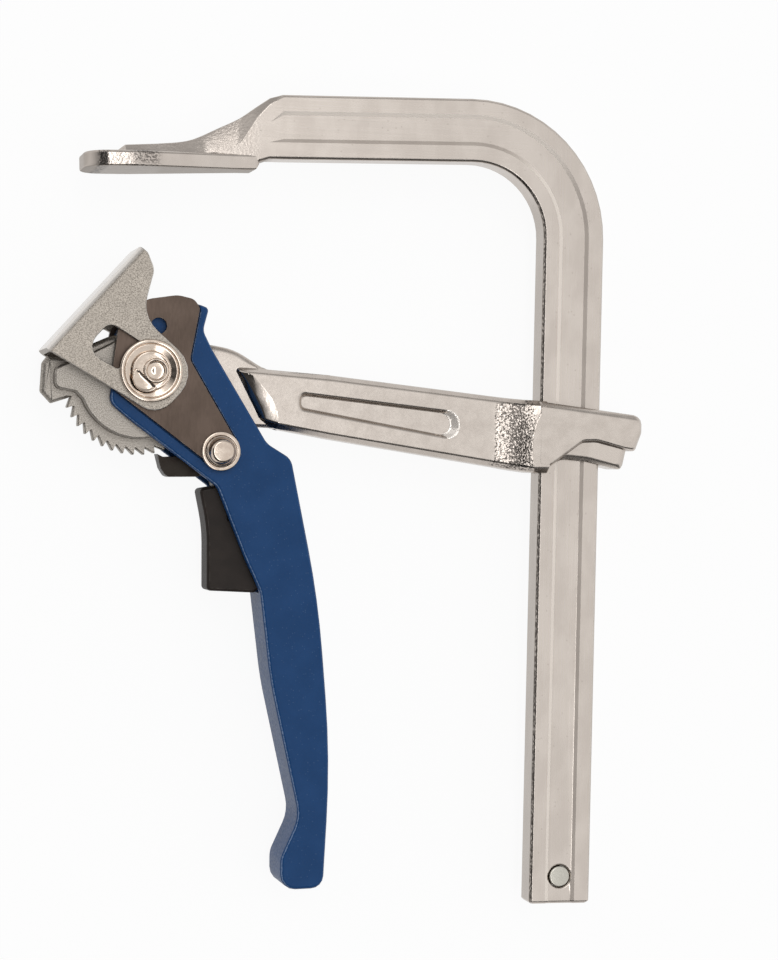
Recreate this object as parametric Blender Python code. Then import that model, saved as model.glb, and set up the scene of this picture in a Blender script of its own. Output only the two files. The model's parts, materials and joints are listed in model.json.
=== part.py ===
"""A one-handed lever bar clamp, lying flat: X to the right, Y along the rail towards the fixed jaw, +Z up.

The origin is the middle of the fixed jaw's clamping face. Sizes are in millimetres and angles in degrees;
the meshes are made in metres. Z = 0 is the middle plane of the clamp, and most pieces are the same on
both sides of it.
"""

import math

import bmesh
import bpy
from mathutils import Matrix, Vector

MM = 0.001

# Fits
SEAT = 0.3  # between pieces that touch
RUNNING = 0.3  # round a turning pin or shaft, on the radius
SLIDING = 0.5  # round the rail, on each side

# Rail, bend and fixed arm: one flat bar, bent on edge
BAR_WIDTH = 25.0
BAR_THICK = 12.0
BAR_CHAMFER = 0.9
GROOVE_WIDTH = 9.2
GROOVE_DEPTH = 0.6
GROOVE_SLOPE = 1.5  # width of the groove's sloping sides
THROAT = 169.3  # jaw centre to the rail's inner edge
RAIL_REACH = 283.7  # clamping face to the rail's free end
ARM_RISE = 16.8  # clamping face to the middle of the fixed arm, over the jaw centre
TOE_IN = 2.2  # the fixed arm and jaw lean in by this
BEND_RADIUS = 41.0
BEND_STEPS = 14
END_CHAMFER = 1.0

# Fixed jaw: a spatula under a ridge that grows into the arm
JAW_RADIUS = 15.0
JAW_TIP = 14.4  # jaw centre to the free tip
JAW_PLATE = 6.0
JAW_LENGTH = 54.0  # jaw centre to the heel
JAW_HEEL = 6.6  # half width at the heel
HEEL_ROUND = 2.2  # the heel's end curves up to the arm by this
JAW_FACE_EDGE = 0.5
JAW_BACK_EDGE = 1.0
NECK = 63.0  # jaw centre to where the bar has its full section
NECK_STEPS = 3

# Stop pin near the rail's free end
STOP_RADIUS = 4.1
STOP_INSET = 10.8
STOP_SUNK = 0.4
STOP_PROUD = 3.0
STOP_SINK_RADIUS = 5.6
STOP_SINK_DEPTH = 0.9

# Lever pivot, and the eccentric that carries the pressure cap
PIVOT_X = 8.8
PIVOT_Y = -79.7
ECCENTRICITY = 4.0
ECCENTRIC_ANGLE = 38.9
JOURNAL_RADIUS = 10.5
CAP_PIN_RADIUS = 6.0
SHAFT_HEAD_RADIUS = 7.3
SHAFT_HEAD = 0.9
BOSS_RADIUS = 4.8
BOSS_OFFSET = 1.6
BOSS_RISE = 1.0
BOSS_DISH = 0.5
HALF_MOON_RADIUS = 5.6
HALF_MOON_X = -1.9
HALF_MOON_Y = -2.6
HALF_MOON_ANGLE = -41.5  # the straight side's slope
HALF_MOON_RISE = 1.3

# Ratchet sector and hub of the sliding arm
TIP_RADIUS = 29.4
TOOTH_DEPTH = 2.5
TOOTH_PITCH = 8.0
TOOTH_COUNT = 12
TOOTH_LAND = 0.5
FIRST_TOOTH = -155.7
RIM_THICK = 4.8
RIM_DRAFT = 1.2
TONGUE_THICK = 9.6
TONGUE_DRAFT = 1.6
HUB_THICK = 15.0
HUB_STEP_RADIUS = 23.2

# Beam of the sliding arm
BEAM_START = 51.2  # lever pivot to the full section
BEAM_DROP = 6.2  # lever pivot to the beam's middle at that section
BEAM_SLOPE = -0.1165
BEAM_DEPTH = 23.8
BEAM_GROWTH = 0.0446
BEAM_THICK = 15.0
BEAM_INSET = 2.1
BEAM_RIDGE = 3.0  # the wide middle plane runs this far from each face
RAMP_FOOT = 42.2  # lever pivot to the foot of the ramp up to the beam's face
RAMP_TOP = 51.6
POCKET_DEPTH = 1.8
POCKET_WALL = 1.1  # width of the pocket's sloping walls
POCKET_RUNOUT = 3.4  # and of the slope at its wide end

# Collar round the rail
COLLAR_THICK = 22.0
COLLAR_LIP_THICK = 18.0
COLLAR_OUTSIDE = 16.6  # rail's outer edge to the collar's end
COLLAR_TOP = -4.6  # from the lever pivot
COLLAR_CREASE = -4.0  # rail's inner edge to where the beam meets the collar's face
COLLAR_EDGE = 2.0
LIP_EDGE = 1.8

# Handle casting and cheek plates
CHANNEL = 16.0
WALL_AT_CHEEK = 2.3
HANDLE_THICK = 23.6
HANDLE_EDGE = 1.4
WEB = 3.2
CHEEK_THICK = 2.2
CHEEK_GAP = 0.5
CHEEK_END_RADIUS = 6.7
CHEEK_HOLE_X = 6.1
CHEEK_HOLE_Y = 19.8
CHEEK_HOLE_RADIUS = 3.1

# Folded pressure cap and its dished washers
CAP_SHEET = 2.3
CAP_REACH = 34.8  # washer centre to the pressing face
CAP_LEFT = 20.6
CAP_RIGHT = 32.2
CAP_BEND = 3.2
CAP_TILT = 48.7
CAP_EYE_RADIUS = 14.0
WASHER_RADIUS = 12.0
WASHER_RIM = 1.3
WASHER_GROOVE = 0.9
WASHER_SHEET = 0.5

# Pawl, trigger and their pivot
PAWL_X = 31.0
PAWL_Y = -27.3
PAWL_THICK = 8.0
PAWL_BOSS_RADIUS = 7.6
PAWL_ENGAGE = 4.8
RIVET_RADIUS = 4.0
RIVET_WASHER_RADIUS = 7.5
RIVET_WASHER = 1.1
RIVET_HEAD_RADIUS = 5.9
RIVET_TOP_RADIUS = 4.3
RIVET_COLLAR = 0.6
RIVET_HEAD = 3.8
SPACER_WALL = 1.8
TRIGGER_THICK = 14.0
TRIGGER_EDGE = 1.0
TAIL_WIDTH = 8.0
TAIL_LENGTH = 33.0
TAIL_ANGLE = -77.0
PIN_RADIUS = 1.5
PIN_REACH = 26.0  # pawl pivot to the trigger pin
SPRING_WIRE = 0.9
SPRING_TURNS = 2
SPRING_CLEARANCE = 0.5

# Places and half thicknesses that follow from the sizes above
PIVOT = Vector((PIVOT_X, PIVOT_Y, 0))
PAWL_PIVOT = PIVOT + Vector((PAWL_X, PAWL_Y, 0))
ECCENTRIC = Vector((math.cos(math.radians(ECCENTRIC_ANGLE)), math.sin(math.radians(ECCENTRIC_ANGLE)), 0))
CAP_PIVOT = PIVOT + ECCENTRICITY * ECCENTRIC
RAIL_AXIS = THROAT + BAR_WIDTH / 2
LEAN = math.tan(math.radians(TOE_IN))
ROOT_RADIUS = TIP_RADIUS - TOOTH_DEPTH
CHANNEL_HALF = CHANNEL / 2
CHEEK_SEAT = CHANNEL_HALF + WALL_AT_CHEEK
CHEEK_IN = CHEEK_SEAT + SEAT
CHEEK_OUT = CHEEK_IN + CHEEK_THICK
CAP_IN = CHEEK_OUT + SEAT
CAP_OUT = CAP_IN + CAP_SHEET
WASHER_IN = CAP_OUT + SEAT
HEAD_IN = WASHER_IN + WASHER_SHEET + SEAT


def polar(radius, degrees):
    return radius * math.cos(math.radians(degrees)), radius * math.sin(math.radians(degrees))


def turned(x, y, degrees):
    c, s = math.cos(math.radians(degrees)), math.sin(math.radians(degrees))
    return c * x - s * y, s * x + c * y


def rounded(corners, steps=4):
    """A closed outline from corners (x, y, radius), with an arc of some steps at each that has a radius."""
    points = []
    for i, (x, y, radius) in enumerate(corners):
        here = Vector((x, y))
        back = Vector(corners[i - 1][:2]) - here
        ahead = Vector(corners[(i + 1) % len(corners)][:2]) - here
        opening = back.angle(ahead)
        if not radius or opening > math.pi - 0.01:
            points.append((x, y))
            continue
        room = 0.49 * min(back.length, ahead.length)
        reach = min(radius / math.tan(opening / 2), room)
        true_radius = reach * math.tan(opening / 2)
        back, ahead = back.normalized(), ahead.normalized()
        centre = here + (back + ahead).normalized() * (true_radius / math.sin(opening / 2))
        start, end = here + back * reach - centre, here + ahead * reach - centre
        sweep = start.angle_signed(end)
        for step in range(steps + 1):
            arm = start.copy()
            arm.rotate(Matrix.Rotation(-sweep * step / steps, 2))
            points.append(tuple(centre + arm))
    return points


def offset(outline, distance):
    """The outline moved outwards by distance, each point along the mitre of its two edges."""
    area = sum(a[0] * b[1] - b[0] * a[1] for a, b in zip(outline, outline[1:] + outline[:1]))
    side = 1 if area > 0 else -1
    moved = []
    for i, point in enumerate(outline):
        here = Vector(point)
        back = (here - Vector(outline[i - 1])).normalized()
        ahead = (Vector(outline[(i + 1) % len(outline)]) - here).normalized()
        normal = Vector((back.y + ahead.y, -back.x - ahead.x)).normalized() * side
        mitre = max(0.5, normal.dot(Vector((back.y, -back.x)) * side))
        moved.append(tuple(here + normal * (distance / mitre)))
    return moved


def material(name, colour, roughness, metallic):
    made = bpy.data.materials.new(name)
    made.use_nodes = True
    shader = made.node_tree.nodes["Principled BSDF"]
    shader.inputs["Base Color"].default_value = (*colour, 1)
    shader.inputs["Roughness"].default_value = roughness
    shader.inputs["Metallic"].default_value = metallic
    return made


def add(name, bm, look=None):
    """The finished mesh as an object in metres, with its faces turned outwards."""
    bmesh.ops.recalc_face_normals(bm, faces=bm.faces)
    bm.transform(Matrix.Scale(MM, 4))
    mesh = bpy.data.meshes.new(name)
    bm.to_mesh(mesh)
    bm.free()
    mesh.shade_smooth()
    mesh.set_sharp_from_angle(angle=math.radians(32))
    obj = bpy.data.objects.new(name, mesh)
    bpy.context.scene.collection.objects.link(obj)
    if look:
        mesh.materials.append(look)
    else:
        obj.hide_render = True
        obj.display_type = "WIRE"
    return obj


def carried(obj, frame, origin=None, degrees=0.0):
    """Hangs a piece, and every cutter or join of it, on a joint's frame. A piece drawn in the clamp's frame
    is first moved to the joint's own place and angle."""
    for each in [obj] + [modifier.object for modifier in obj.modifiers]:
        if origin is not None:
            each.data.transform(Matrix.Translation(-origin * MM))
            each.data.transform(Matrix.Rotation(math.radians(-degrees), 4, "Z"))
        each.parent = frame


def frame_at(name, place, degrees=0.0, parent=None):
    empty = bpy.data.objects.new(name, None)
    empty.empty_display_size = 0.02
    bpy.context.scene.collection.objects.link(empty)
    empty.location = (place - (parent[1] if parent else Vector((0, 0, 0)))) * MM
    empty.rotation_euler.z = math.radians(degrees)
    if parent:
        empty.parent = parent[0]
    return empty


def lofted(name, rings, look=None):
    """A closed solid through rings of as many points each."""
    bm = bmesh.new()
    loops = [[bm.verts.new(point) for point in ring] for ring in rings]
    count = len(loops[0])
    for low, high in zip(loops, loops[1:]):
        for i in range(count):
            j = (i + 1) % count
            bm.faces.new((low[i], low[j], high[j], high[i]))
    bm.faces.new(loops[0][::-1])
    bm.faces.new(loops[-1])
    return add(name, bm, look)


def plate(name, outline, low, high, look=None, edge=0.0, draft=0.0):
    """The outline between two heights, with chamfered rims, or narrowing downwards by a draft."""
    if edge:
        levels = [(low, -edge), (low + edge, 0), (high - edge, 0), (high, -edge)]
    else:
        levels = [(low, -draft), (high, 0)]
    rings = [[(x, y, z) for x, y in offset(outline, grow)] for z, grow in levels]
    return lofted(name, rings, look)


def disc(name, centre, radius, low, high, look=None, sides=32, top_radius=None):
    bm = bmesh.new()
    place = Matrix.Translation((centre.x, centre.y, (low + high) / 2))
    bmesh.ops.create_cone(bm, cap_ends=True, segments=sides, radius1=radius,
                          radius2=top_radius or radius, depth=high - low, matrix=place)
    return add(name, bm, look)


def turned_piece(name, centre, profile, look, sides=32):
    """A ring or pin from its half section, as (radius, height) points in order round it."""
    bm = bmesh.new()
    corners = [bm.verts.new((radius, 0, height)) for radius, height in profile]
    edges = [bm.edges.new(pair) for pair in zip(corners, corners[1:] + corners[:1])]
    bmesh.ops.spin(bm, geom=corners + edges, axis=(0, 0, 1), cent=(0, 0, 0), dvec=(0, 0, 0),
                   angle=2 * math.pi, steps=sides, use_merge=True, use_duplicate=False)
    bmesh.ops.translate(bm, verts=bm.verts, vec=centre)
    return add(name, bm, look)


def lathe(name, centre, profile, look, sides=24):
    """A solid pin from its (radius, height) profile, lowest first."""
    rings = []
    for radius, height in profile:
        around = [polar(radius, 360 * i / sides) for i in range(sides)]
        rings.append([(centre.x + x, centre.y + y, height) for x, y in around])
    return lofted(name, rings, look)


def boolean(obj, other, operation="DIFFERENCE"):
    modifier = obj.modifiers.new(f"{operation.title()} {other.name}", "BOOLEAN")
    modifier.operation = operation
    modifier.object = other
    other.hide_render = True
    other.display_type = "WIRE"


def between(a, b, side):
    """Two heights on one side of the middle plane, lower first."""
    return sorted((a * side, b * side))


# Rail, fixed arm and fixed jaw
def bar_section(end_inset=0.0):
    """The bar's section as (across, z), with a shallow groove along each face."""
    w, t = BAR_WIDTH / 2 - end_inset, BAR_THICK / 2 - end_inset
    g, s = GROOVE_WIDTH / 2, GROOVE_SLOPE
    c = BAR_CHAMFER
    d = min(GROOVE_DEPTH, t - 1)
    front = [(-w + c, t), (-g - s, t), (-g, t - d), (g, t - d), (g + s, t), (w - c, t), (w, t - c)]
    return front + [(a, -z) for a, z in reversed(front)] + [(-w, -t + c), (-w, t - c)]


def neck_section(bottom, shoulder, top, half, ridge):
    """A section of the ridge over the jaw, with as many points as the bar's: flat flanks up to the
    shoulder and a crest narrowed to the ridge."""
    inner = shoulder - bottom
    front = [(bottom + BAR_CHAMFER, half), (bottom + 0.30 * inner, half), (bottom + 0.34 * inner, half),
             (bottom + 0.66 * inner, half), (bottom + 0.70 * inner, half), (shoulder, half), (top, ridge)]
    tail = [(bottom, -half + BAR_CHAMFER), (bottom, half - BAR_CHAMFER)]
    return front + [(a, -z) for a, z in reversed(front)] + tail


def eased(rows, steps):
    """More rows between those of a table, on smooth curves through its columns, the first one the place."""
    slopes = []
    for i, row in enumerate(rows):
        back, ahead = rows[max(i - 1, 0)], rows[min(i + 1, len(rows) - 1)]
        slopes.append([(b - a) / (ahead[0] - back[0]) for a, b in zip(back, ahead)])
    filled = [rows[0]]
    for i, (first, last) in enumerate(zip(rows, rows[1:])):
        span = last[0] - first[0]
        for step in range(1, steps + 1):
            t = step / steps
            leave, arrive = (t - 1) ** 2 * t * span, (t - 1) * t * t * span
            share = t * t * (3 - 2 * t)
            filled.append([a + (b - a) * share + leave * p + arrive * q
                           for a, b, p, q in zip(first, last, slopes[i], slopes[i + 1])])
    return filled


def bar_rings():
    """Rings from the ridge over the jaw, along the arm, round the bend and down the rail."""
    half = BAR_THICK / 2
    arm_bottom = ARM_RISE - BAR_WIDTH / 2
    crest = ARM_RISE + BAR_WIDTH / 2
    ridge = [
        (-2.0, JAW_PLATE - 3.0, JAW_PLATE - 1.2, JAW_PLATE + 0.4, 3.0, 1.4),
        (2.0, JAW_PLATE - 3.0, JAW_PLATE + 0.4, JAW_PLATE + 3.6, 4.6, 2.0),
        (20.0, JAW_PLATE - 3.0, JAW_PLATE + 0.8, JAW_PLATE + 5.2, half - 0.3, 2.4),
        (28.0, JAW_PLATE - 3.0, JAW_PLATE + 1.0, JAW_PLATE + 6.9, half, 2.6),
        (38.0, JAW_PLATE - 3.0, JAW_PLATE + 2.0, JAW_PLATE + 11.8, half, 2.7),
        (46.0, JAW_PLATE - 3.0, crest - 17.2, crest - 7.4, half, 3.2),
        (52.0, JAW_PLATE - 1.4, crest - 7.6, crest - 3.0, half, 4.0),
        (57.5, arm_bottom + 2.3, crest - 1.4, crest + 0.9, half, half - 1.2),
    ]
    rings = []
    for x, bottom, shoulder, top, wide, narrow in ridge[:1] + eased(ridge[1:], NECK_STEPS):
        rings.append([(x, a, z) for a, z in neck_section(bottom, shoulder, top, wide, narrow)])
    corner = Vector((RAIL_AXIS, ARM_RISE + LEAN * RAIL_AXIS))
    turn = 90 + TOE_IN
    tangent = BEND_RADIUS * math.tan(math.radians(turn / 2))
    centre = Vector((RAIL_AXIS - BEND_RADIUS, corner.y - tangent))
    stations = [((NECK, ARM_RISE + LEAN * NECK), 90 + TOE_IN, 0.0)]
    for step in range(BEND_STEPS + 1):
        angle = 90 + TOE_IN - turn * step / BEND_STEPS
        reach = polar(BEND_RADIUS, angle)
        stations.append(((centre.x + reach[0], centre.y + reach[1]), angle, 0.0))
    stations.append(((RAIL_AXIS, END_CHAMFER - RAIL_REACH), 0.0, 0.0))
    stations.append(((RAIL_AXIS, -RAIL_REACH), 0.0, END_CHAMFER))
    for (x, y), angle, inset in stations:
        ring = []
        for across, z in bar_section(inset):
            dx, dy = polar(across, angle)
            ring.append((x + dx, y + dy, z))
        rings.append(ring)
    return rings


def jaw_plate():
    """The spatula: a round end that narrows to the bar, its clamping face turned in with the arm."""
    outline = rounded([
        (-JAW_TIP, -JAW_RADIUS, JAW_RADIUS), (5.0, -JAW_RADIUS, 16.0), (JAW_LENGTH - 9, -JAW_HEEL, 40.0),
        (JAW_LENGTH, -JAW_HEEL + 0.6, 2.0), (JAW_LENGTH, JAW_HEEL - 0.6, 2.0),
        (JAW_LENGTH - 9, JAW_HEEL, 40.0), (5.0, JAW_RADIUS, 16.0),
        (-JAW_TIP, JAW_RADIUS, JAW_RADIUS)], steps=6)
    face, back, curve = JAW_FACE_EDGE, JAW_BACK_EDGE, HEEL_ROUND
    levels = ((0, -face, curve), (face, 0, 0.6 * curve), (curve, 0, 0.1 * curve), (JAW_PLATE - back, 0, 0),
              (JAW_PLATE - 0.3 * back, -0.3 * back, 0), (JAW_PLATE, -back, 0))
    rings = []
    for z, grow, short in levels:
        rings.append([(min(x, JAW_LENGTH - short), y, z) for x, y in offset(outline, grow)])
    jaw = lofted("jaw_spatula", rings)
    lay = Matrix.Rotation(math.radians(TOE_IN), 4, "Z") @ Matrix.Rotation(math.radians(-90), 4, "X")
    jaw.data.transform(lay)
    return jaw


def rail_bar(look):
    bar = lofted("rail_bar", bar_rings(), look)
    boolean(bar, jaw_plate(), "UNION")
    centre = Vector((RAIL_AXIS, STOP_INSET - RAIL_REACH, 0))
    face = BAR_THICK / 2
    boolean(bar, disc("stop_hole", centre, STOP_RADIUS + SEAT, -face - 2, face + 2, sides=24))
    sink = face - GROOVE_DEPTH - STOP_SINK_DEPTH
    boolean(bar, disc("stop_countersink", centre, STOP_RADIUS, sink, face + 1, sides=24,
                      top_radius=STOP_SINK_RADIUS + 1))
    return bar


def stop_pin(look):
    """Sunk a little on the front, standing proud on the rear to stop the sliding arm."""
    front = BAR_THICK / 2 - STOP_SUNK
    rear = -BAR_THICK / 2 - STOP_PROUD
    bevel = 0.6
    return lathe("stop_pin", Vector((RAIL_AXIS, STOP_INSET - RAIL_REACH, 0)), [
        (STOP_RADIUS - bevel, rear), (STOP_RADIUS, rear + bevel), (STOP_RADIUS, front - bevel),
        (STOP_RADIUS - bevel, front)], look)


# Sliding arm
def tooth_points():
    """The ratchet round the lever pivot: a steep flank towards the pawl and a long slope behind it."""
    land = math.degrees(TOOTH_LAND / TIP_RADIUS)
    points = []
    for i in range(TOOTH_COUNT):
        tip = FIRST_TOOTH + TOOTH_PITCH * i
        points.append(polar(ROOT_RADIUS, tip - TOOTH_PITCH + 0.6))
        points.append(polar(TIP_RADIUS, tip - land))
        points.append(polar(TIP_RADIUS, tip))
        points.append(polar(ROOT_RADIUS, tip + 0.4))
    return points


def rim_plate(look):
    """The thin ratchet rim, and the stop hook with its drafted edge."""
    last = FIRST_TOOTH + TOOTH_PITCH * (TOOTH_COUNT - 1)
    toothed = tooth_points() + [polar(ROOT_RADIUS, last + step) for step in (7, 14, 21)]
    hook = rounded([
        (16.0, -12.0, 0), (12.0, 12.0, 2), (-8.8, 16.8, 10), (-18.8, 12.2, 10), (-28.3, 7.3, 4),
        (-34.6, 7.7, 1.2), (-36.7, 4.7, 2), (-37.2, -6.2, 1.5), (-33.0, -10.6, 0.8),
        (-26.6, -8.4, 0)], steps=3)
    outline = toothed + hook
    drafted = toothed + offset(outline, -RIM_DRAFT)[len(toothed):]
    half = RIM_THICK / 2
    levels = ((-half, drafted), (RIM_DRAFT - half, outline), (half - RIM_DRAFT, outline), (half, drafted))
    rings = [[(PIVOT.x + x, PIVOT.y + y, z) for x, y in ring] for z, ring in levels]
    return lofted("sliding_arm", rings, look)


def tongue_plate():
    """The plate that joins the hub to the beam, its upper edge drawn down in a long S."""
    outline = rounded([
        (0.0, -14.0, 0), (24.0, -17.0, 8), (51.2, -17.6, 6), (60.0, -17.2, 0), (60.0, 2.6, 0),
        (50.0, 4.6, 26), (37.0, 12.4, 24), (27.0, 13.9, 60), (10.0, 14.4, 0), (0.0, 6.0, 0)], steps=4)
    return plate("tongue", [(PIVOT.x + x, PIVOT.y + y) for x, y in outline], -TONGUE_THICK / 2,
                 TONGUE_THICK / 2, edge=TONGUE_DRAFT)


def hub_plate():
    """The raised middle of the sector: round under the teeth, and stepped along the hook."""
    arc = [polar(HUB_STEP_RADIUS, angle) for angle in range(-158, -44, 8)]
    rest = rounded([
        (*arc[-1], 0), (22.2, -10.3, 4), (22.2, 8.7, 6), (8.2, 14.4, 8), (-8.8, 14.0, 8), (-17.8, 9.3, 6),
        (-28.7, 4.4, 3), (-32.3, 2.4, 2.5), (-32.1, -4.6, 2.5), (-24.2, -5.9, 2), (*arc[0], 0)], steps=3)
    outline = [(PIVOT.x + x, PIVOT.y + y) for x, y in arc + rest[1:-1]]
    return plate("hub", outline, -HUB_THICK / 2, HUB_THICK / 2, edge=0.5)


def beam_middle(x):
    """(height of the beam's middle line, half depth) at a place along X."""
    along = x - PIVOT.x - BEAM_START
    return PIVOT.y - BEAM_DROP + BEAM_SLOPE * along, (BEAM_DEPTH + BEAM_GROWTH * along) / 2


def beam_ring(x, half, slant=0.0, bow=0.0, trim=0.0):
    """One section of the beam, five points across each face. The middle plane is wider than the faces,
    as a drop forging leaves it. A section can slant and bow along X across its depth."""
    middle, deep = beam_middle(x)
    deep -= trim
    flank = max(half - BEAM_RIDGE, 0.5 * half)
    flat = deep - BEAM_INSET
    front = [(flat * step / 2, half) for step in (-2, -1, 0, 1, 2)] + [(deep, flank)]
    ring = front + [(v, -z) for v, z in reversed(front)] + [(-deep, -flank), (-deep, flank)]
    return [(x - slant * v - bow * v * v, middle + v, z) for v, z in ring]


def beam():
    """From inside the tongue, up a curved ramp, along the plain beam and up a hollow to the collar."""
    foot, top = PIVOT.x + RAMP_FOOT, PIVOT.x + RAMP_TOP
    low, half, collar_half = TONGUE_THICK / 2 - 0.1, BEAM_THICK / 2, COLLAR_THICK / 2 - 0.1
    rings = [beam_ring(foot - 5.0, low, slant=0.51, trim=0.8)]
    ramp = ((0.0, 0.0), (0.05, 0.04), (0.3, 0.57), (0.4, 0.70), (0.7, 0.86), (0.97, 0.985), (1.0, 1.0))
    for along, height in ramp:
        rings.append(beam_ring(foot + (top - foot) * along, low + (half - low) * height,
                               slant=0.51 + 0.14 * along, bow=0.038 * along, trim=0.5 - 0.4 * along))
    rings += [
        beam_ring(top + 0.4, half, slant=0.65, bow=0.038, trim=0.1),
        beam_ring(PIVOT.x + BEAM_START + 24, half),
        beam_ring(THROAT - 21, half),
        beam_ring(THROAT - 17, half + 0.2),
        beam_ring(THROAT - 13, half + 0.75, slant=-0.04),
        beam_ring(THROAT - 9, half + 1.65, slant=-0.09, bow=-0.005),
        beam_ring(THROAT + COLLAR_CREASE - 0.5, collar_half - 0.2, slant=-0.165, bow=-0.0185),
        beam_ring(THROAT + COLLAR_CREASE, collar_half, slant=-0.165, bow=-0.0185),
        beam_ring(THROAT + 3.0, collar_half, trim=1.0),
    ]
    return lofted("beam", rings)


def collar_levels(name, half, edge, outline):
    """A block of the collar: its outline, drawn in by an edge towards both faces."""
    levels = ((-half, edge), (-half + edge, 0), (half - edge, 0), (half, edge))
    return lofted(name, [[(x, y, z) for x, y in outline(inset)] for z, inset in levels])


def collar_band_outline(inset):
    """The tall front of the collar, whose lower edge climbs to the right across the rail."""
    end = THROAT + BAR_WIDTH + COLLAR_OUTSIDE - 0.6 * inset
    left = THROAT - 0.9
    top = PIVOT.y + COLLAR_TOP - inset
    low = PIVOT.y + COLLAR_TOP + 0.45 * inset
    return rounded([
        (left, low - 25.3, 0), (THROAT + 3.4, low - 25.5, 3), (THROAT + 16.6, low - 15.6, 4),
        (THROAT + 22.5, low - 15.3, 8), (end - 6.4, low - 18.2, 3), (end - 2.7, low - 18.7, 1.5),
        (end, low - 11.3, 4), (end, top - 4.4, 4.5), (left, top + 0.2, 0)], steps=3)


def collar_lip_outline(inset):
    """The thinner lip that shows below the band, across the rail and round its outer edge."""
    end = THROAT + BAR_WIDTH + COLLAR_OUTSIDE - 5.5 - inset
    left = THROAT - 2.0
    top = PIVOT.y + COLLAR_TOP
    low = top + inset
    return rounded([
        (left, low - 26.0, 0), (THROAT + 3.2, low - 24.6, 4), (THROAT + 9.5, low - 22.4, 8),
        (THROAT + 19.0, low - 23.1, 20), (end - 2.2, low - 26.2, 1.5), (end, top - 16.0, 4),
        (end, top - 8.0, 0), (left, top - 7.0, 0)], steps=3)


def pocket_outline(inset, runout):
    """The pocket's side view: narrow by the hub and wide by the collar, drawn in by its sloping walls."""
    left, right = PIVOT.x + BEAM_START + 11.2 + inset, THROAT - 34.0 - runout
    middle_left, middle_right = beam_middle(left)[0], beam_middle(right)[0]
    return rounded([
        (left, middle_left - 2.9 + inset, 2.2), (right, middle_right - 5.6 + inset, 5.2 - inset),
        (right, middle_right + 5.4 - inset, 5.2 - inset), (left, middle_left + 3.9 - inset, 2.2)], steps=5)


def pocket(suffix, side):
    """The tapered slot pressed into each face of the beam, with walls that curve down to its floor."""
    face = BEAM_THICK / 2
    rings = []
    for depth, share in ((POCKET_DEPTH, 1.0), (0.75 * POCKET_DEPTH, 0.6), (0.0, 0.0), (-1.0, 0.0)):
        outline = pocket_outline(share * POCKET_WALL, share * POCKET_RUNOUT)
        rings.append([(x, y, (face - depth) * side) for x, y in outline])
    return lofted(f"pocket_{suffix}", rings)


def rail_slot():
    """The passage for the rail: parallel to it, with sliding room all round."""
    half = BAR_WIDTH / 2 + SLIDING
    wide = BAR_THICK / 2 + SLIDING
    section = [(RAIL_AXIS + x, z) for x, z in ((-half, -wide), (half, -wide), (half, wide), (-half, wide))]
    high, low = PIVOT.y + 20, PIVOT.y - 60
    return lofted("rail_slot", [[(x, y, z) for x, z in section] for y in (low, high)])


def sliding_arm(look):
    arm = rim_plate(look)
    boolean(arm, hub_plate(), "UNION")
    boolean(arm, tongue_plate(), "UNION")
    boolean(arm, beam(), "UNION")
    boolean(arm, collar_levels("collar_band", COLLAR_THICK / 2, COLLAR_EDGE, collar_band_outline), "UNION")
    boolean(arm, collar_levels("collar_lip", COLLAR_LIP_THICK / 2, LIP_EDGE, collar_lip_outline), "UNION")
    boolean(arm, rail_slot())
    bore = JOURNAL_RADIUS + RUNNING
    boolean(arm, disc("hub_bore", PIVOT, bore, -HUB_THICK, HUB_THICK, sides=36))
    boolean(arm, pocket("front", 1))
    boolean(arm, pocket("rear", -1))
    return arm


# Lever
def handle_outline():
    """The side view of the handle about the lever pivot, from the horn down the palm side and back up."""
    return [
        (22.8, 28.3, 1.5), (25.6, 27.3, 2), (23.5, 18.7, 5), (27.2, 11.5, 6), (49.4, -23.9, 9),
        (59.0, -29.5, 6), (71.0, -83.8, 350), (77.2, -145.3, 350), (75.3, -195.3, 5), (58.4, -195.9, 11),
        (58.2, -183.6, 10), (65.2, -167.8, 15), (52.6, -115.3, 200), (47.9, -80.8, 10), (41.6, -67.8, 60),
        (30.3, -40.9, 6), (-4.3, -15.9, 30), (-12.2, -9.4, 5), (-10.4, -2.5, 6), (-8.0, 17.6, 8),
        (1.4, 28.0, 8), (14.0, 30.6, 8)]


def cheek_outline():
    """The cheek plate about the lever pivot: a broad head that narrows to the pawl pivot."""
    return [
        (-9.4, 18.3, 4), (0.7, 29.7, 8), (13.2, 31.8, 10), (19.4, 30.5, 4), (21.9, 27.3, 3), (18.4, 7.3, 4),
        (54.9, -52.6, CHEEK_END_RADIUS), (-12.0, -3.9, 6)]


def about_pivot(corners):
    return [(PIVOT.x + x, PIVOT.y + y) for x, y in rounded(corners)]


def channel_cutter():
    """The hollow of the handle: open towards the palm, and also towards the fingers above the web."""
    corners = [
        (-40.0, 60.0, 0), (100.0, 60.0, 0), (100.0, -184.0, 0), (66.5, -184.0, 5), (65.4 + WEB, -167.8, 12),
        (52.8 + WEB, -115.3, 200), (48.1 + WEB, -81.5, 1.2), (30.0, -81.5, 0), (-40.0, -81.5, 0)]
    return plate("handle_channel", about_pivot(corners), -CHANNEL_HALF, CHANNEL_HALF)


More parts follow.
